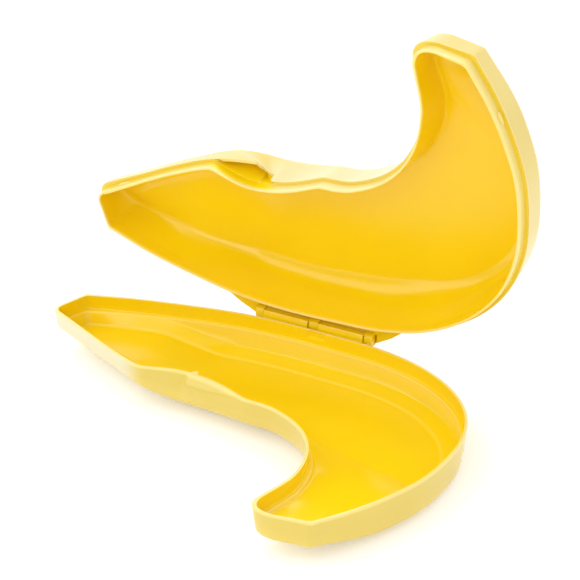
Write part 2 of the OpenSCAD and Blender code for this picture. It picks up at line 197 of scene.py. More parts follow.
tangents = unit(np.roll(rim, -1, 0) - np.roll(rim, 1, 0))
acrossAll = np.vstack([rungs, np.zeros((len(stemWall), 2)), -rungs[::-1], np.zeros((len(tipWall), 2))])
slant = np.abs(acrossAll[:, 0] * tangents[:, 1] - acrossAll[:, 1] * tangents[:, 0])
acrossAll = acrossAll / np.maximum(outline["leastSlant"], slant)[:, None]
stemShare, tipShare = crossed(stemWall, last), crossed(tipWall, 0)
inward = np.vstack([
    sideInward(outerSide, acrossAll[:last + 1]),
    rungs[last] * stemShare[:, None] + stemAlong,
    sideInward(innerSide, acrossAll[innerFirst:tipFirst][::-1])[::-1],
    rungs[0] * tipShare[:, None] + tipAlong])

# near is 0 on the outer side of the case and 1 on the inner side
near = np.concatenate([np.zeros(last + 1), (1 - stemShare) / 2, np.ones(last + 1), (1 - tipShare) / 2])


def dentAt(x):
    start, middle, end = thumbDent["start"], thumbDent["middle"], thumbDent["end"]
    rising = np.sin(np.pi / 2 * (x - start) / (middle - start))
    falling = np.cos(np.pi / 2 * (x - middle) / (end - middle))
    return np.where((x <= start) | (x >= end), 0, thumbDent["depth"] * np.where(x < middle, rising, falling))


stations = np.arange(count)
onInner = (stations >= innerFirst) & (stations < tipFirst) & (rim[:, 1] > thumbDent["lowest"])
dents = np.where(onInner, dentAt(rim[:, 0]), 0.0)

# soft corners: everything that varies round the rim is averaged over a short stretch of it
spans = np.linalg.norm(np.roll(rim, -1, 0) - rim, axis=1)
runs = np.concatenate([[0], np.cumsum(spans)[:-1]])
gaps = np.abs(runs[:, None] - runs[None, :])
gaps = np.minimum(gaps, spans.sum() - gaps)


def averaging(width):
    weights = np.exp(-0.5 * (gaps / width) ** 2) * ((spans + np.roll(spans, 1)) / 2)[None, :]
    return weights / weights.sum(1, keepdims=True)


soften = averaging(caseSizes["cornerSoftness"])
softenDent = averaging(caseSizes["dentSoftness"])
softenDeep = averaging(caseSizes["deepSoftness"])
rim, inward, near, dents = soften @ rim, soften @ inward, soften @ near, softenDent @ dents
deepInward = softenDeep @ inward
rimX, rimY = rim[:, 0], rim[:, 1]
tipRise = rampDown(rimX, *caseSizes["tipRise"])
stemRise = rampDown(rimY, *caseSizes["stemRise"])
tipNarrow = rampDown(rimX, *caseSizes["tipNarrow"])
print("rim laid out:", count, "stations")


def eased(middle, tip, stem):   # a depth that changes towards both ends
    return middle + (tip - middle) * tipRise + (stem - middle) * stemRise


def narrowed(middle, tipLess, stemLess):   # an inset that shrinks towards both ends
    return middle - tipLess * tipNarrow - stemLess * stemRise


def bilge(t, start, end, pull):
    return arc(t, start, mixed(pull, start, end), end)


class Profile:
    # cross-section rows round the case, each an inset, a dent shift and a depth at every station, with a
    # painted sheen and a painted highlight

    def __init__(self):
        self.keys = []

    # outer is the row's painted sheen, edge its painted highlight
    def add(self, inset, shift, depth, radius=0.0, segments=4, outer=0.0, edge=0.0):
        spot = np.stack([np.broadcast_to(np.asarray(v, float), count) for v in (inset, shift, depth)])
        shades = np.broadcast_to(outer, count), np.broadcast_to(edge, count)
        self.keys.append((spot, radius, segments, *shades))

    def rounded(self, k):
        spot, radius, segments = self.keys[k][:3]
        if np.all(radius == 0) or k in (0, len(self.keys) - 1):
            return [spot]
        before, after = self.keys[k - 1][0] - spot, self.keys[k + 1][0] - spot
        reach = [np.maximum(1e-6, np.hypot(v[0] + v[1], v[2])) for v in (before, after)]
        cut = np.minimum(radius, caseSizes["roundShare"] * np.minimum(*reach))
        a, b = spot + before * cut / reach[0], spot + after * cut / reach[1]
        return [arc(t, a, spot, b) for t in np.linspace(0, 1, segments + 1)]

    def rows(self):
        spots, paintedSheens, edges = [], [], []
        for k, key in enumerate(self.keys):
            made = self.rounded(k)
            spots += made
            paintedSheens += [key[3]] * len(made)
            edges += [key[4]] * len(made)
        return np.array(spots), np.array(paintedSheens), np.array(edges)


def trayPlace(x, y, depth):
    return np.stack([x, y + caseSizes["hingeBack"], caseSizes["trayDepth"] - depth], -1) * mm


def lidPlace(x, y, depth):
    return np.stack([x, depth + caseSizes["hingeBack"], caseSizes["trayDepth"] - y], -1) * mm


def newObject(name, mesh, material):
    obj = bpy.data.objects.new(name, mesh)
    bpy.context.scene.collection.objects.link(obj)
    if material is not None and not mesh.materials:
        mesh.materials.append(material)
    return obj


def evaluated(obj):
    bpy.context.view_layer.update()
    return bpy.data.meshes.new_from_object(obj.evaluated_get(bpy.context.evaluated_depsgraph_get()))


def setValues(mesh, label, values, kind="FLOAT", field="value"):
    data = mesh.attributes.new(label, kind, "POINT").data
    data.foreach_set(field, np.asarray(values, np.float32).ravel())


def setShade(mesh, shade):   # the same painted sheen and highlight at every point
    for label, value in shade.items():
        setValues(mesh, label, np.full(len(mesh.vertices), value))


def closedShell(name, profile, place, material, paintedGlow, relief=None, inside=0):
    rows, paintedSheens, edges = profile.rows()
    deep = rampUp(rows[:, 0], *caseSizes["deepFrom"])[:, :, None]
    flat = rim + mixed(deep, inward, deepInward) * rows[:, 0][:, :, None]
    flat = mixed(deep, flat, np.einsum("ij,rjk->rik", softenDeep, flat))
    points = np.stack([flat[:, :, 0], flat[:, :, 1] + rows[:, 1], rows[:, 2]], -1)

    def cap(ring, rowCount):   # rows from the middle line of the case out to the ring
        outerHalf, innerHalf = ring[:last + 1], ring[innerFirst:tipFirst][::-1]
        middle = ((outerHalf + innerHalf) / 2)[pairing]
        return [mixed(1 - k / rowCount, ring, middle) for k in range(rowCount)]

    plainRows, reliefRows = caseSizes["capRows"]
    first = cap(points[0], plainRows)
    final = cap(points[-1], plainRows if relief is None else reliefRows)[::-1]

    def capped(values, keep=1):   # the values of the end rows go on over the caps
        return np.concatenate([values[:1] * keep] * len(first) + [values] + [values[-1:] * keep] * len(final))

    grid = np.concatenate([first, points, final])
    if relief is not None:
        grid = relief(grid, len(first) + inside)
    grid = place(*np.moveaxis(grid, -1, 0))
    row, left = np.meshgrid(np.arange(len(grid) - 1), np.arange(count), indexing="ij")
    right = (left + 1) % count
    below, above = row * count, (row + 1) * count
    quads = np.stack([below + left, below + right, above + right, above + left], -1).reshape(-1, 4)
    mesh = bpy.data.meshes.new(name)
    mesh.from_pydata(grid.reshape(-1, 3).tolist(), [], quads.tolist())
    depths = capped(rows[:, 2])
    # painted light on every point: sheen and highlight from the rows, and a glow that fades with depth
    setValues(mesh, "paintedSheen", capped(paintedSheens))
    setValues(mesh, "paintedHighlight", capped(edges, 0))
    setValues(mesh, "paintedGlow", paintedGlow * ramp((1 - depths / depths.max(0)) / caseSizes["paintedGlowFade"]))
    work = bmesh.new()
    work.from_mesh(mesh)
    bmesh.ops.remove_doubles(work, verts=work.verts, dist=mergeGap)
    bmesh.ops.dissolve_degenerate(work, edges=work.edges, dist=mergeGap / 2)
    bmesh.ops.recalc_face_normals(work, faces=work.faces)
    for f in work.faces:
        f.smooth = True
    openEdges = sum(1 for e in work.edges if not e.is_manifold)
    work.to_mesh(mesh)
    work.free()
    print(name, len(mesh.polygons), "faces,", openEdges, "open edges")
    return newObject(name, mesh, material)


# moulded plastic, with painted sheen, glow and highlight in its colour

plasticFinish = {
    "inside": (0.90, 0.63, 0.003),      # deep golden, painted shade: the plastic as it shows between walls of its own colour
    "outside": (0.70, 0.53, 0.10),      # painted sheen: the plastic paler on the outer faces, where it reflects the white room
    "paintedGlow": (0.74, 0.68, 0.44),        # painted glow: white light shining through the thinnest stretches
    "edge": (0.93, 0.76, 0.32),         # painted highlight on rims and creases
    "roughness": (0.18, 0.24),
    "detail": 2,                        # of every noise
    "cloudScale": 38.0,                 # soft unevenness of the colour, per metre
    "cloudBand": (0.3, 0.7),            # noise values that are spread over the whole change
    "cloudValue": (0.965, 1.0),
    "patchScale": 1.7,                  # patches of roughness, finer than the clouds by this
    "scuffScale": 420.0,
    "scuffStretch": (1, 0.12, 0.12),
    "scuffBand": (0.62, 0.75),
    "scuffRoughness": (0, 0.015),
    "grainScale": 2600.0,               # fine satin grain of the mould
    "grainHeight": 0.00002,
    "grainStrength": 0.5,
    "refraction": 1.49,
    "gloss": 0.5,
}


def mouldedPlastic(name, finish):
    material = bpy.data.materials.new(name)
    material.use_nodes = True
    tree = material.node_tree
    nodes, links = tree.nodes, tree.links
    shader = nodes["Principled BSDF"]
    place = nodes.new("ShaderNodeTexCoord")

    def attribute(label):
        n = nodes.new("ShaderNodeAttribute")
        n.attribute_name = label
        return n.outputs["Fac"]

    def noise(scale, stretch=(1, 1, 1)):
        mapping = nodes.new("ShaderNodeMapping")
        mapping.inputs["Scale"].default_value = stretch
        links.new(place.outputs["Object"], mapping.inputs["Vector"])
        n = nodes.new("ShaderNodeTexNoise")
        n.inputs["Scale"].default_value = scale
        n.inputs["Detail"].default_value = finish["detail"]
        links.new(mapping.outputs["Vector"], n.inputs["Vector"])
        return n.outputs["Fac"]

    def spread(value, band, result):
        n = nodes.new("ShaderNodeMapRange")
        for label, v in zip(("From Min", "From Max", "To Min", "To Max"), (*band, *result)):
            n.inputs[label].default_value = v
        links.new(value, n.inputs["Value"])
        return n.outputs["Result"]

    def blend(share, a, b):
        n = nodes.new("ShaderNodeMix")
        n.data_type = "RGBA"
        links.new(share, n.inputs["Factor"])
        for socket, v in ((n.inputs[6], a), (n.inputs[7], b)):   # its two colours
            if isinstance(v, bpy.types.NodeSocket):
                links.new(v, socket)
            else:
                socket.default_value = (*v, 1)
        return n.outputs[2]

    # painted light mixed into the colour: glow and sheen pale it, the highlight lightens it
    outer = blend(attribute("paintedGlow"), finish["outside"], finish["paintedGlow"])
    colour = blend(attribute("paintedSheen"), finish["inside"], outer)
    colour = blend(attribute("paintedHighlight"), colour, finish["edge"])
    clouds = spread(noise(finish["cloudScale"]), finish["cloudBand"], finish["cloudValue"])
    veil = nodes.new("ShaderNodeHueSaturation")
    links.new(clouds, veil.inputs["Value"])
    links.new(colour, veil.inputs["Color"])
    links.new(veil.outputs["Color"], shader.inputs["Base Color"])

    patchy = noise(finish["cloudScale"] * finish["patchScale"])
    scuffs = noise(finish["scuffScale"], finish["scuffStretch"])
    total = nodes.new("ShaderNodeMath")
    links.new(spread(patchy, finish["cloudBand"], finish["roughness"]), total.inputs[0])
    links.new(spread(scuffs, finish["scuffBand"], finish["scuffRoughness"]), total.inputs[1])
    links.new(total.outputs[0], shader.inputs["Roughness"])

    bump = nodes.new("ShaderNodeBump")
    bump.inputs["Distance"].default_value = finish["grainHeight"]
    bump.inputs["Strength"].default_value = finish["grainStrength"]
    links.new(noise(finish["grainScale"]), bump.inputs["Height"])
    links.new(bump.outputs["Normal"], shader.inputs["Normal"])
    shader.inputs["IOR"].default_value = finish["refraction"]
    shader.inputs["Specular IOR Level"].default_value = finish["gloss"]
    return material


yellowPlastic = mouldedPlastic("yellowPlastic", plasticFinish)

# snap beads on the skirt, and the pockets in the tray's wall that take them

beadSizes = {
    "spots": [("inner", 0.68), ("inner", 11.0), ("outer", 13.35), ("outer", 4.67)],   # side, stretch along it
    "length": 6.2,
    "height": 1.55,
    "rise": 0.62,
    "below": 1.75,           # under the mating face
    "sunk": 0.08,            # into the skirt
    "segments": 28,
    "rings": 14,
    "pocketRoom": 1.4,       # past each end of a bead
    "pocketFade": 1.2,
    # painted sheen and highlight, the same over the whole bead
    "shade": {"paintedSheen": 0.75, "paintedHighlight": 0.3},
}


def stationOf(side, stretch):
    steps = outline["steps"]
    k = int(stretch)
    j = sum(steps[:k]) + round((stretch - k) * steps[min(k, len(steps) - 1)])
    return j if side == "outer" else innerFirst + last - j


beadStations = [stationOf(*spot) for spot in beadSizes["spots"]]
pocketReach = beadSizes["length"] / 2 + beadSizes["pocketRoom"]
pockets = rampDown(np.min(gaps[beadStations], axis=0), pocketReach, beadSizes["pocketFade"])

# tray

traySizes = {
    "wallFoot": (3.5, 7.2, 10.7, 7.2),   # where the bilge starts above the table: outer, inner, tip, stem
    "floorRise": (5.0, 5.5),             # of the underside, at the tip and at the stem
    "leanDepth": 14.5,                   # a wall this deep has the whole lean
    "footOuter": (8.0, 3.36, 2.0),       # inset of the foot, and how much less at the tip and at the stem
    "footInner": (13.5, 5.0, 1.5),
    "panelOuter": (10.5, 2.1, 2.625),    # the same for the panel inside
    "panelInner": (15.0, 6.5, 2.5),
    "panelTip": 3.15,                    # less still at the tip, on the outer side
    "bilgeRound": 0.6,
    "bilgeRows": (0.9, 0.5, 6),          # first, last and number
    "edgeRound": (3.6, 1.4),             # foot of the outer wall, and the same in the dent
    "crispDent": 3.0,                    # a dent this deep has the second
    "wallRows": (0.5, 0.41, 0.33, 0.26, 0.2, 0.15, 0.115),   # shares of the depth, close over the scoop
    "rimRound": 0.45,
    "lip": 0.25,
    "pocketDepth": 0.45,                 # takes a bead, just under the rim
    "pocketRows": (0.7, 2.9, 3.9),       # below the rim: top, bottom and the end of its slope
    "wallDraft": 0.15,
    "ledgeWidth": 1.6,
    "underLedge": 0.2,
    "belowLedge": (0.25, 0.9),           # least depth of the wall and of the floor under the ledge
    "floorWall": 2.0,
    "innerDent": 0.78,                   # share of the dent at the foot of the inner wall
    "innerRows": (0, 0.9, 10),
    "blend": (14, 18),                   # from this x on the inner side has no crease, over this length
    "blendPull": 1.0,
    "tipPull": 0.5,
    "tipStepLost": 0.9,
    "creaseRound": 0.9,
    "creaseLight": 0.12,
    "stemLine": [(30.8, -56.4), (54.3, -62.6)],   # kink in the floor, x and y of two points
    "stemReach": 30.0,
    "stemClimb": 0.9,                    # share of the height under the ledge that the floor climbs
    "stemBlend": (5, 23),                # from this x on, over this length
    "stemRoom": 0.3,
    "kinkRound": 0.5,
    # painted glow towards the tip, from this x over this length
    "paintedGlowTip": (-39, 14),
}


def scoopHeight(x):
    middle, end = thumbDent["middle"], thumbDent["end"]
    along = np.clip((x - middle) / (end - middle), 0, 1)
    return mixed(along ** thumbDent["scoopFall"], *thumbDent["scoopDepth"])


def buildTray():
    size, full, ledge = traySizes, caseSizes["trayDepth"], caseSizes["ledgeDepth"]
    step, stepWidth, wall = caseSizes["panelStep"], caseSizes["stepWidth"], caseSizes["wall"]
    footDent, creaseShare = caseSizes["footDent"], caseSizes["creaseShare"]
    creaseDent, panelDent, lastDent = caseSizes["panelDents"]
    outerFoot, innerFoot, tipFoot, stemFoot = size["wallFoot"]
    walls = full - eased(mixed(near, outerFoot, innerFoot), tipFoot, stemFoot)
    floors = full - eased(0, *size["floorRise"])
    lean = caseSizes["lean"] * walls / size["leanDepth"]
    foot = mixed(near, narrowed(*size["footOuter"]), narrowed(*size["footInner"]))
    panelOuter = narrowed(*size["panelOuter"]) - size["panelTip"] * tipRise
    panel = mixed(near, panelOuter, narrowed(*size["panelInner"]))

    def dentShift(depth):
        flat = 1 - thumbDent["wallFade"] * np.minimum(1, depth / walls)
        under = thumbDent["scoopFloor"]
        scoop = under + (1 - under) * (1 - np.minimum(1, depth / scoopHeight(rimX))) ** 2
        part = depth / thumbDent["scoopDepth"][0]
        bow = thumbDent["scoopBow"] * np.sin(np.pi * np.minimum(1, part))
        blendFrom, blendWidth = thumbDent["scoopBlend"]
        wider = blendWidth * ramp(part - blendFrom)      # under the scoop it blends into the flat
        left = thumbDent["scoopLeft"] - bow - wider / 2
        return dents * mixed(rampUp(rimX, left, thumbDent["scoopEdge"] + wider), flat, scoop)

    profile = Profile()
    low = dentShift(walls)
    # painted sheen over the whole outside, painted highlight at the wall's foot and along the rim
    profile.add(foot, low * footDent, floors, caseSizes["footRound"], segments=3, outer=1)
    profile.add(foot - stepWidth, low * footDent, floors - step, caseSizes["stepRound"], segments=3, outer=1)
    for t in np.linspace(*size["bilgeRows"]):
        inset = bilge(t, lean, foot - stepWidth, 1 - size["bilgeRound"])
        depth = bilge(t, walls, floors - step, size["bilgeRound"])
        profile.add(inset, low * mixed(t, 1, footDent), depth, outer=1)
    crisp = np.clip(dents / size["crispDent"], 0, 1)
    profile.add(lean, low, walls, mixed(crisp, *size["edgeRound"]), segments=10, outer=0.9, edge=0.1)
    for share in size["wallRows"]:
        profile.add(lean * share, dentShift(walls * share), walls * share, outer=1)
    profile.add(0, dents, 0, size["rimRound"], segments=5, outer=0.8, edge=0.55)
    profile.add(wall, dents, 0, size["rimRound"], segments=5, outer=0.3, edge=0.55)

    # inside: the pockets, the ledge, then the bilge down to the panel
    insideRow = len(profile.rows()[0])
    pocket = wall - size["pocketDepth"] * pockets
    pocketTop, pocketBottom, pocketEnd = size["pocketRows"]
    profile.add(wall, dents, size["lip"])
    profile.add(pocket, dents, pocketTop, radius=0.3, segments=3)
    profile.add(pocket, dents, pocketBottom, radius=0.4, segments=3)
    profile.add(wall, dents, pocketEnd, radius=0.4, segments=3)
    profile.add(wall + size["wallDraft"], dents, ledge, radius=0.7)
    ledgeInset = wall + size["ledgeWidth"]
    # painted highlight along the ledge
    profile.add(ledgeInset, dents, ledge, radius=0.5, edge=0.25)
    leastWall, leastFloor = size["belowLedge"]
    wallIn = np.maximum(ledge + leastWall, walls - wall)
    floorIn = np.maximum(ledge + leastFloor, floors - size["floorWall"])
    blended = near * rampUp(rimX, *size["blend"])
    step = step * (1 - blended) * (1 - size["tipStepLost"] * near * tipRise)
    pull = mixed(blended, mixed(tipRise, size["bilgeRound"], size["tipPull"]), size["blendPull"])
    pullIn = mixed(tipRise, 1 - size["bilgeRound"], size["tipPull"])
    crease = floorIn - step * creaseShare
    innerDents = dents * size["innerDent"]
    for t in np.linspace(*size["innerRows"]):
        inset = bilge(t, ledgeInset + size["underLedge"], panel - stepWidth, pullIn)
        profile.add(inset, innerDents * mixed(t, 1, creaseDent), bilge(t, wallIn, crease, pull))
    # painted highlight along the crease, none where it blends away
    light = size["creaseLight"] * (1 - blended)
    profile.add(panel - stepWidth, innerDents * creaseDent, crease, size["creaseRound"], edge=light)
    profile.add(panel, innerDents * panelDent, floorIn, size["creaseRound"])
    profile.add(panel + caseSizes["panelEdge"], innerDents * lastDent, floorIn)

    def stemRamp(grid, firstInside):   # past a kink across the case the floor climbs towards the stem end
        a, b = np.array(size["stemLine"])
        away = (grid[:, :, :2] - a) @ np.array([b[1] - a[1], a[0] - b[0]]) / np.linalg.norm(b - a)
        soft = size["kinkRound"]
        climb = 1 - np.exp(-soft * np.logaddexp(0, away / soft) / size["stemReach"])
        rise = size["stemClimb"] * climb * rampUp(grid[:, :, 0], *size["stemBlend"])
        rise = np.where(np.arange(len(grid))[:, None] >= firstInside, rise, 0)
        room = grid[:, :, 2] - ledge - size["stemRoom"]
        grid[:, :, 2] -= np.where(room > 0, room * rise, 0)
        return grid

    # painted glow, paler towards the tip
    paintedGlow = rampDown(rimX, *size["paintedGlowTip"])
    return closedShell("trayShell", profile, trayPlace, yellowPlastic, paintedGlow, stemRamp, insideRow)


tray = buildTray()
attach(tray, "base")
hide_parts("base_shell")

# lid, with its skirt and thumb tab in one moulding

lidSizes = {
    "depth": 22.0,
    "topTip": (14.6, 11.1),       # depth of the panel at the tip, outer and inner side
    "topStem": 16.0,
    "wallDepth": 15.0,            # where the bilge starts
    "wallTip": (10.0, 8.0),
    "wallStem": 11.6,
    "topWall": 1.5,               # thickness of the panel
    "sideWall": 1.6,
    "panelInset": 10.5,
    "panelEnds": (0.7, 0.75),     # share of that inset at the tip and at the stem
    "bilgeRound": 0.85,
    "bilgeRows": (0.92, 0.0, 12),
    "wallRows": (0.9, 0.78, 0.66, 0.54, 0.43, 0.33, 0.24, 0.17, 0.11, 0.07),
    "upright": (6, 26),           # from this x on the wall inside the bend and the stem stands straight
    "uprightPanel": 3.8,
    "uprightRound": 0.95,
    "uprightInner": 0.4,
    "uprightBulge": 0.82,
    "dentFade": 0.5,              # share of the dent lost down the wall
    "seatGap": 0.15,
    "rimRound": 0.5,
    "tabSkin": 1.5,               # thickness of the tab over the pocket
    "tabEnd": -22.9,              # where the tab starts to fall back into the dent
    "tabRun": 8.0,                # over what length
    "tabSpread": 1.6,             # how much further that reaches at each millimetre of depth
    "tabShadow": (-43, -13),      # painted shadow of the tab on the skirt below it, between these x
    "pocketDepth": 9.0,
    "pocketFrom": (0.8, 1.2),     # how far the tab clears the dent where its pocket starts, and the run
    "pocketBack": 0.12,
    "pocketPast": 1.0,            # past the left of the slot
    "pocketTaper": 12.0,
    "slot": (-22.6, -16.2),       # over the nib
    "slotDepth": 4.2,
    "slotLip": 0.5,
    "slotEdges": (1.2, 0.7),
    "faceRows": (0.3, 0.6, 0.9, 1.2),   # insets across the mating face
    # painted shade: share of the painted sheen left on the mating face
    "faceShade": 0.35,
    "skirtHeight": 5.8,
    "skirtOut": 1.5,
    "skirtIn": 2.6,
    "skirtRows": [(0.05, 1.5), (0.15, 3.48)],   # draft and height
    "skirtDraft": 0.2,
    "skirtEdge": 1.5,
    # painted sheen and painted highlight on the skirt's outside
    "skirtShade": 0.85,
    "skirtLight": 0.2,
    "bend": (55, 22),             # towards the tip and in the bend the back wall leans over to the panel
    "bendLean": 0.55,
    "leanDepth": 1.5,
    "leanBulge": 0.7,
    "leanIn": 1.7,
    "stemDrop": 5.0,              # of the panel inside, at the stem
    "stemFrom": (-72, 45),
    "midRow": {"draft": 0.05, "lean": 0.3, "dent": 0.9, "depth": 0.5},   # half way up the inner wall
    "innerDraft": 0.1,
    "innerDent": 0.78,
    "innerRound": 0.78,
    "innerRows": (0, 0.92, 12),
    "creaseAlong": (-95, -85, -62, -50, -38, -22, -5, 20, 48, 75, 95),      # inside, on the hinge side, x
    "creaseInset": (6.1, 7.4, 11, 9.7, 9.3, 10.8, 11.2, 12.2, 14, 11, 9.5),
    "creaseStem": 3.0,
    "creaseRoom": 2.0,            # least height of the bilge
    "creaseRound": 1.5,
    "stepLost": (0.9, 0.7),       # at the tip, and where the wall is upright
    # painted glow on the outer wall of the inner side, rising from one x and falling to the other
    "paintedGlowShare": 0.48,
    "paintedGlowFrom": (-26, 12),
    "paintedGlowTo": (60, 30),
}


def buildLid():
    size, full, seat, wallDepth = lidSizes, lidSizes["depth"], lidSizes["seatGap"], lidSizes["wallDepth"]
    step, stepWidth, ledge = caseSizes["panelStep"], caseSizes["stepWidth"], caseSizes["ledgeDepth"]
    footDent, creaseShare = caseSizes["footDent"], caseSizes["creaseShare"]
    creaseDent, panelDent, lastDent = caseSizes["panelDents"]
    walls = eased(wallDepth, mixed(near, *size["wallTip"]), size["wallStem"])
    tops = eased(full, mixed(near, *size["topTip"]), size["topStem"])
    lean = caseSizes["lean"] * walls / wallDepth
    upright = near * rampUp(rimX, *size["upright"])
    panel = mixed(upright, size["panelInset"] * eased(1, *size["panelEnds"]), size["uprightPanel"])
    turn = mixed(upright, size["bilgeRound"], size["uprightRound"])
    slotLeft, slotRight = size["slot"]
    leftRun, rightRun = size["slotEdges"]
    slot = rampUp(rimX, slotLeft, leftRun) * rampDown(rimX, slotRight, rightRun) * onInner

    def skinShift(depth):   # the outer wall leaves the dent gradually, so the tab stands clear of it
        reach = size["tabSpread"] * depth
        along = rampUp(rimX, size["tabEnd"] - reach, size["tabRun"] + reach)
        return dents * along * (1 - size["dentFade"] * np.minimum(1, depth / wallDepth))

    edge = seat + size["slotDepth"] * slot
    stepped = skinShift(edge)
    low = skinShift(wallDepth)
    profile = Profile()
    profile.add(panel, low * footDent, tops, caseSizes["footRound"], segments=3, outer=1)
    profile.add(panel - stepWidth, low * footDent, tops - step, caseSizes["stepRound"], segments=3, outer=1)
    for t in np.linspace(*size["bilgeRows"]):
        inset = bilge(t, lean, panel - stepWidth, 1 - turn)
        profile.add(inset, low * mixed(t, 1, footDent), bilge(t, walls, tops - step, turn), outer=1)
    for share in size["wallRows"]:
        depth = mixed(share, edge, walls)
        profile.add(lean * depth / walls, skinShift(depth * wallDepth / walls), depth, outer=1)

    # lower edge of the wall, then the pocket behind the tab, then the mating face
    clear, clearRun = size["pocketFrom"]
    room = np.maximum(np.clip((dents - stepped - clear) / clearRun, 0, 1), slot)
    away = 1 - room
    behind = (size["skirtOut"] - size["pocketBack"]) * room
    skin = np.minimum(size["tabSkin"], np.maximum(0, dents - stepped)) * room
    hollow = np.where(rimX < slotLeft + size["pocketPast"], size["pocketDepth"], 0) * room
    ceiling = softenDent @ np.maximum(edge + size["slotLip"] * slot, seat + hollow)
    front = np.maximum(stepped, skinShift(ceiling)) + skin
    taper = mixed(slot, np.maximum(0, 1 - ceiling / size["pocketTaper"]), 1)
    back = mixed(room, dents, np.maximum(dents * taper, front))
    # painted shade: the mating face keeps only part of the painted sheen, the pocket none
    shade = size["faceShade"] * away
    edgeIn, frontIn, backIn, seatIn = size["faceRows"]
    # painted highlight along the lid's rim, fading across the mating face
    profile.add(0, stepped, edge, size["rimRound"], outer=1, edge=0.5)
    profile.add(edgeIn * away, stepped + skin, edge, radius=0.35, segments=3, outer=0.6, edge=0.3)
    profile.add(frontIn * away, front, ceiling, radius=0.5, segments=3, outer=shade)
    profile.add(backIn * away + behind, back, ceiling, radius=0.5, segments=3, outer=shade)
    profile.add(seatIn * away + behind, dents, seat, radius=0.2, segments=2, outer=shade)
    profile.add(size["skirtOut"], dents, seat, radius=0.2, segments=3, outer=shade)

    # skirt, down its outside and up again
    height, skirtIn = size["skirtHeight"], size["skirtIn"]
    shadowLeft, shadowRight = size["tabShadow"]
    # painted shadow: under the tab the skirt loses its painted sheen and highlight
    lit = softenDent @ np.where(onInner & (rimX > shadowLeft) & (rimX < shadowRight), 0.0, 1.0)
    shade, light = size["skirtShade"] * lit, size["skirtLight"] * lit
    for draft, below in size["skirtRows"]:
        profile.add(size["skirtOut"] + draft, dents, -below, outer=shade, edge=light)
    # painted highlight on the skirt's free edge
    profile.add(size["skirtOut"] + size["skirtDraft"], dents, -height, radius=0.4, outer=0.6, edge=0.6)
    profile.add(skirtIn, dents, -height, radius=0.35, outer=0.2, edge=0.5)
    profile.add(skirtIn, dents, -height + size["skirtEdge"])
    profile.add(skirtIn, dents, seat)

    # inside: the wall, then the bilge up to the panel
    bendMiddle, bendReach = size["bend"]
    leaning = np.maximum(tipRise, size["bendLean"] * np.exp(-((rimX - bendMiddle) / bendReach) ** 2))
    slope = leaning * (1 - near)
    drop = size["stemDrop"] * upright * rampDown(rimY, *size["stemFrom"])
    topIn = np.maximum(ledge, tops - size["topWall"] - drop)
    straightIn = np.maximum(ledge - size["creaseRoom"], walls - size["sideWall"])
    wallIn = np.minimum(topIn - size["creaseRoom"], mixed(slope, straightIn, size["leanDepth"]))
    leanIn = size["leanIn"] * (1 - near) * (1 - tipRise)
    mid = size["midRow"]
    profile.add(skirtIn + mid["draft"] + mid["lean"] * leanIn, dents * mid["dent"], wallIn * mid["depth"])
    backInset = softenDeep @ np.interp(rimX, size["creaseAlong"], size["creaseInset"])
    backInset = backInset - size["creaseStem"] * stemRise
    inner = mixed(near, backInset, panel + size["uprightInner"] * upright)
    tipLost, uprightLost = size["stepLost"]
    step = step * (1 - tipLost * tipNarrow) * (1 - uprightLost * upright)
    bulge = mixed(slope, mixed(upright, size["innerRound"], size["uprightBulge"]), size["leanBulge"])
    crease = topIn - step * creaseShare
    innerDents = dents * size["innerDent"]
    for t in np.linspace(*size["innerRows"]):
        inset = bilge(t, skirtIn + size["innerDraft"] + leanIn, inner - stepWidth, 1 - bulge)
        profile.add(inset, innerDents * mixed(t, 1, creaseDent), bilge(t, wallIn, crease, bulge))
    creaseRound = size["creaseRound"]
    # faint painted highlight along the crease
    profile.add(inner - stepWidth, innerDents * creaseDent, crease, creaseRound, segments=5, edge=0.03)
    profile.add(inner, innerDents * panelDent, topIn, creaseRound, segments=5)
    profile.add(inner + caseSizes["panelEdge"], innerDents * lastDent, topIn)
    # painted glow on the inner side's outer wall
    paintedGlow = size["paintedGlowShare"] * near * rampUp(rimX, *size["paintedGlowFrom"]) * rampDown(rimX, *size["paintedGlowTo"])
    return closedShell("lidShell", profile, lidPlace, yellowPlastic, paintedGlow)


lid = buildLid()
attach(lid, "lid")
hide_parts("lid_shell", "lid_skirt", "thumb_tab")

# nib on the tray's rim

nibSizes = {
    "profile": [     # x, and height above the rim
        (-21.2, -1.0), (-21.2, 0.0), (-19.6, 0.55), (-18.4, 1.3),
        (-17.4, 1.5), (-17.0, 1.25), (-16.85, 0.1), (-16.85, -1.0)],
    "beside": 4,     # point of the inner outline that it stands at
    "front": 0.1,    # across the rim
    "back": 0.85,
    "round": 0.25,
    "roundSegments": 3,
    # painted sheen and highlight, the same over the whole nib
    "shade": {"paintedSheen": 0.7, "paintedHighlight": 0.6},
}


def buildNib():
    size = nibSizes
    rimLine = outline["inner"][size["beside"]][1] + thumbDent["depth"]
    work = bmesh.new()
    rings = []
    for inset in (size["front"], size["back"]):
        ring = [work.verts.new(Vector(trayPlace(x, rimLine + inset, -z))) for x, z in size["profile"]]
        work.faces.new(ring)
        rings.append(ring)
    a, b = rings
    for i in range(len(a)):
        j = (i + 1) % len(a)
        work.faces.new((a[i], b[i], b[j], a[j]))
    bmesh.ops.recalc_face_normals(work, faces=work.faces)
    bmesh.ops.bevel(work, geom=work.edges[:], offset=size["round"] * mm, segments=size["roundSegments"],
                    profile=0.5, affect="EDGES", clamp_overlap=True)
    for f in work.faces:
        f.smooth = True
    mesh = bpy.data.meshes.new("catchNib")
    work.to_mesh(mesh)
    work.free()
    setShade(mesh, size["shade"])
    return newObject("catchNib", mesh, yellowPlastic)


nib = buildNib()
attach(nib, "base")
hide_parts("catch_nib")
print("nib built")

# snap beads along the skirt


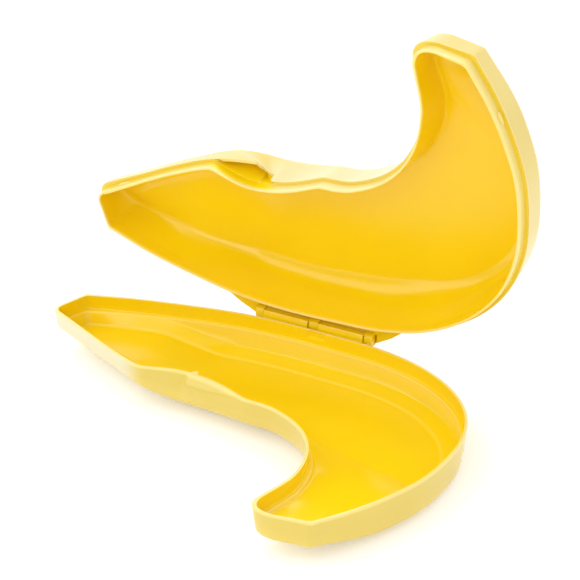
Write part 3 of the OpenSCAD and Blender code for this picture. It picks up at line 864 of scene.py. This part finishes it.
def beadTree():
    tree = bpy.data.node_groups.new("snapBeadNodes", "GeometryNodeTree")
    face = tree.interface
    face.new_socket("Geometry", in_out="INPUT", socket_type="NodeSocketGeometry")
    face.new_socket("Geometry", in_out="OUTPUT", socket_type="NodeSocketGeometry")
    sockets = {}
    for label in ("Length", "Rise", "Height"):
        sockets[label] = face.new_socket(label, in_out="INPUT", socket_type="NodeSocketFloat").identifier
    nodes, links = tree.nodes, tree.links
    source, sink = nodes.new("NodeGroupInput"), nodes.new("NodeGroupOutput")
    ball = nodes.new("GeometryNodeMeshUVSphere")
    ball.inputs["Segments"].default_value = beadSizes["segments"]
    ball.inputs["Rings"].default_value = beadSizes["rings"]
    ball.inputs["Radius"].default_value = 0.5     # one across, the inputs scale it
    smooth = nodes.new("GeometryNodeSetShadeSmooth")
    shape = nodes.new("ShaderNodeCombineXYZ")
    for axis, label in zip("XYZ", ("Length", "Rise", "Height")):
        links.new(source.outputs[label], shape.inputs[axis])
    turns = None
    for axis, pivot, label in (("Z", "AUTO", "rising"), ("Y", "Z", "facing")):
        way = nodes.new("GeometryNodeInputNamedAttribute")
        way.data_type = "FLOAT_VECTOR"
        way.inputs["Name"].default_value = label
        turn = nodes.new("FunctionNodeAlignRotationToVector")
        turn.axis, turn.pivot_axis = axis, pivot
        links.new(way.outputs["Attribute"], turn.inputs["Vector"])
        if turns is not None:
            links.new(turns, turn.inputs["Rotation"])
        turns = turn.outputs["Rotation"]
    spots = nodes.new("GeometryNodeInstanceOnPoints")
    realize = nodes.new("GeometryNodeRealizeInstances")
    finish = nodes.new("GeometryNodeSetMaterial")
    finish.inputs["Material"].default_value = yellowPlastic
    links.new(source.outputs["Geometry"], spots.inputs["Points"])
    links.new(ball.outputs["Mesh"], smooth.inputs["Geometry"])
    links.new(smooth.outputs["Geometry"], spots.inputs["Instance"])
    links.new(turns, spots.inputs["Rotation"])
    links.new(shape.outputs["Vector"], spots.inputs["Scale"])
    links.new(spots.outputs["Instances"], realize.inputs["Geometry"])
    links.new(realize.outputs["Geometry"], finish.inputs["Geometry"])
    links.new(finish.outputs["Geometry"], sink.inputs["Geometry"])
    return tree, sockets


def buildBeads():
    size = beadSizes
    places, facings = [], []
    for i in beadStations:
        spot = rim[i] + inward[i] * (lidSizes["skirtOut"] + size["sunk"])
        places.append(tuple(lidPlace(spot[0], spot[1] + dents[i], -size["below"])))
        tangent = unit(rim[(i + 1) % count] - rim[i - 1])
        out = np.array([tangent[1], -tangent[0]])
        out = out if out @ inward[i] < 0 else -out
        facings.append((out[0], 0.0, -out[1]))
    mesh = bpy.data.meshes.new("beadSpots")
    mesh.from_pydata(places, [], [])
    setValues(mesh, "facing", facings, "FLOAT_VECTOR", "vector")
    setValues(mesh, "rising", [(0, -1, 0)] * len(places), "FLOAT_VECTOR", "vector")
    seed = newObject("beadSpots", mesh, None)
    tree, sockets = beadTree()
    modifier = seed.modifiers.new("beads", "NODES")
    modifier.node_group = tree
    modifier[sockets["Length"]] = size["length"] * mm
    modifier[sockets["Rise"]] = size["rise"] * 2 * mm
    modifier[sockets["Height"]] = size["height"] * 2 * mm
    result = evaluated(seed)
    result.name = "snapBeads"
    bpy.data.objects.remove(seed)
    setShade(result, size["shade"])
    return newObject("snapBeads", result, yellowPlastic)


beads = buildBeads()
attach(beads, "lid")
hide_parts("snap_beads")
print("beads built:", len(beads.data.polygons), "faces")

# hinge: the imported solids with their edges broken

hingeSizes = {
    "edgeRound": 0.22,
    "edgeSegments": 2,
    "edgeAngle": 35,      # degrees, edges flatter than this stay as they are
    "flatAngle": 1,       # faces closer than this become one
    "sharpAngle": 30,
    "base": ["hinge_hook_left", "hinge_hook_right"],
    "lid": ["hinge_wing_left", "hinge_wing_right", "hinge_rib", "hinge_bar"],
}


def softened(node):
    size = hingeSizes
    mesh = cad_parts[node].data.copy()
    name = "".join(w.capitalize() if i else w for i, w in enumerate(node.split("_")))
    mesh.name = name
    work = bmesh.new()
    work.from_mesh(mesh)
    bmesh.ops.remove_doubles(work, verts=work.verts, dist=mergeGap)
    flatAngle = math.radians(size["flatAngle"])
    bmesh.ops.dissolve_limit(work, angle_limit=flatAngle, verts=work.verts, edges=work.edges)
    work.to_mesh(mesh)
    work.free()
    mesh.materials.clear()
    obj = newObject(name, mesh, yellowPlastic)
    bevel = obj.modifiers.new("brokenEdges", "BEVEL")
    bevel.width = size["edgeRound"] * mm
    bevel.segments = size["edgeSegments"]
    bevel.limit_method = "ANGLE"
    bevel.angle_limit = math.radians(size["edgeAngle"])
    final = evaluated(obj)
    obj.modifiers.clear()
    obj.data = final
    final.name = name
    final.shade_smooth()
    final.set_sharp_from_angle(angle=math.radians(size["sharpAngle"]))
    return obj


for body in ("base", "lid"):
    for node in hingeSizes[body]:
        piece = softened(node)
        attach(piece, body)
        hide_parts(node)
print("hinge softened")

# studio, in metres

studio = {
    "floor": (0.80, 0.80, 0.79),
    "floorGlow": 0.28,       # a light table
    "floorRoughness": 0.9,
    "floorGloss": 0.1,
    "floorSize": 6.0,
    "skyFront": 0.5,
    "skyBack": 1.5,          # the room is brighter behind the table
    "skySpan": (-0.7, 0.9),
    "lamps": [   # place, size, watts, colour
        ((-0.3, 0.9, 1.25), 0.9, 3.0, (1.0, 0.99, 0.97)),
        ((-0.8, -0.7, 1.1), 1.5, 9.0, (1.0, 1.0, 1.0)),
        ((0.25, -1.2, 0.8), 0.9, 4.5, (1.0, 1.0, 1.0)),
        ((0.95, -0.75, 0.3), 0.6, 1.2, (1.0, 1.0, 1.0)),
    ],
    "aim": (0.01, 0.0, 0.06),
}


def buildFloor():
    half = studio["floorSize"] / 2
    corners = [(-half, -half, 0), (half, -half, 0), (half, half, 0), (-half, half, 0)]
    mesh = bpy.data.meshes.new("paleFloor")
    mesh.from_pydata(corners, [], [(0, 1, 2, 3)])
    paint = bpy.data.materials.new("palePaper")
    paint.use_nodes = True
    shader = paint.node_tree.nodes["Principled BSDF"]
    shader.inputs["Base Color"].default_value = (*studio["floor"], 1)
    shader.inputs["Roughness"].default_value = studio["floorRoughness"]
    shader.inputs["Specular IOR Level"].default_value = studio["floorGloss"]
    shader.inputs["Emission Color"].default_value = (1, 1, 1, 1)
    shader.inputs["Emission Strength"].default_value = studio["floorGlow"]
    newObject("paleFloor", mesh, paint)


def buildSky():
    world = bpy.data.worlds.new("softRoom")
    world.use_nodes = True
    nodes, links = world.node_tree.nodes, world.node_tree.links
    way = nodes.new("ShaderNodeTexCoord")
    split = nodes.new("ShaderNodeSeparateXYZ")
    light = nodes.new("ShaderNodeMapRange")
    links.new(way.outputs["Generated"], split.inputs["Vector"])
    links.new(split.outputs["Y"], light.inputs["Value"])
    light.interpolation_type = "SMOOTHSTEP"
    light.inputs["From Min"].default_value, light.inputs["From Max"].default_value = studio["skySpan"]
    light.inputs["To Min"].default_value = studio["skyFront"]
    light.inputs["To Max"].default_value = studio["skyBack"]
    links.new(light.outputs["Result"], nodes["Background"].inputs["Strength"])
    nodes["Background"].inputs["Color"].default_value = (1, 1, 1, 1)
    bpy.context.scene.world = world


def buildLamps():
    for i, (place, size, power, colour) in enumerate(studio["lamps"]):
        lamp = bpy.data.lights.new(f"softbox{i + 1}", "AREA")
        lamp.shape = "DISK"
        lamp.size, lamp.energy, lamp.color = size, power, colour
        obj = bpy.data.objects.new(f"softbox{i + 1}", lamp)
        bpy.context.scene.collection.objects.link(obj)
        obj.location = place
        obj.rotation_euler = (Vector(studio["aim"]) - Vector(place)).to_track_quat("-Z", "Y").to_euler()


viewpoint = {
    "place": (0.3687, -0.7132, 0.4798),
    "right": (0.88997, 0.45586, 0.01177),
    "up": (-0.22170, 0.40999, 0.88473),
    "back": (0.39849, -0.79000, 0.46595),
    "lens": 143.67,
    "sensor": 36.0,
    "shift": (4.18 / 580, -16.52 / 580),    # shares of the picture's width
    "nearest": 0.01,
}


def buildCamera():
    view = viewpoint
    data = bpy.data.cameras.new("photoView")
    cam = bpy.data.objects.new("photoView", data)
    bpy.context.scene.collection.objects.link(cam)
    turn = Matrix((view["right"], view["up"], view["back"])).transposed().to_4x4()
    cam.matrix_world = Matrix.Translation(view["place"]) @ turn
    data.sensor_width, data.lens = view["sensor"], view["lens"]
    data.shift_x, data.shift_y = view["shift"]
    data.clip_start = view["nearest"]
    bpy.context.scene.camera = cam


buildFloor()
buildSky()
buildLamps()
buildCamera()
bpy.context.scene.view_settings.view_transform = "Standard"
print("studio ready")
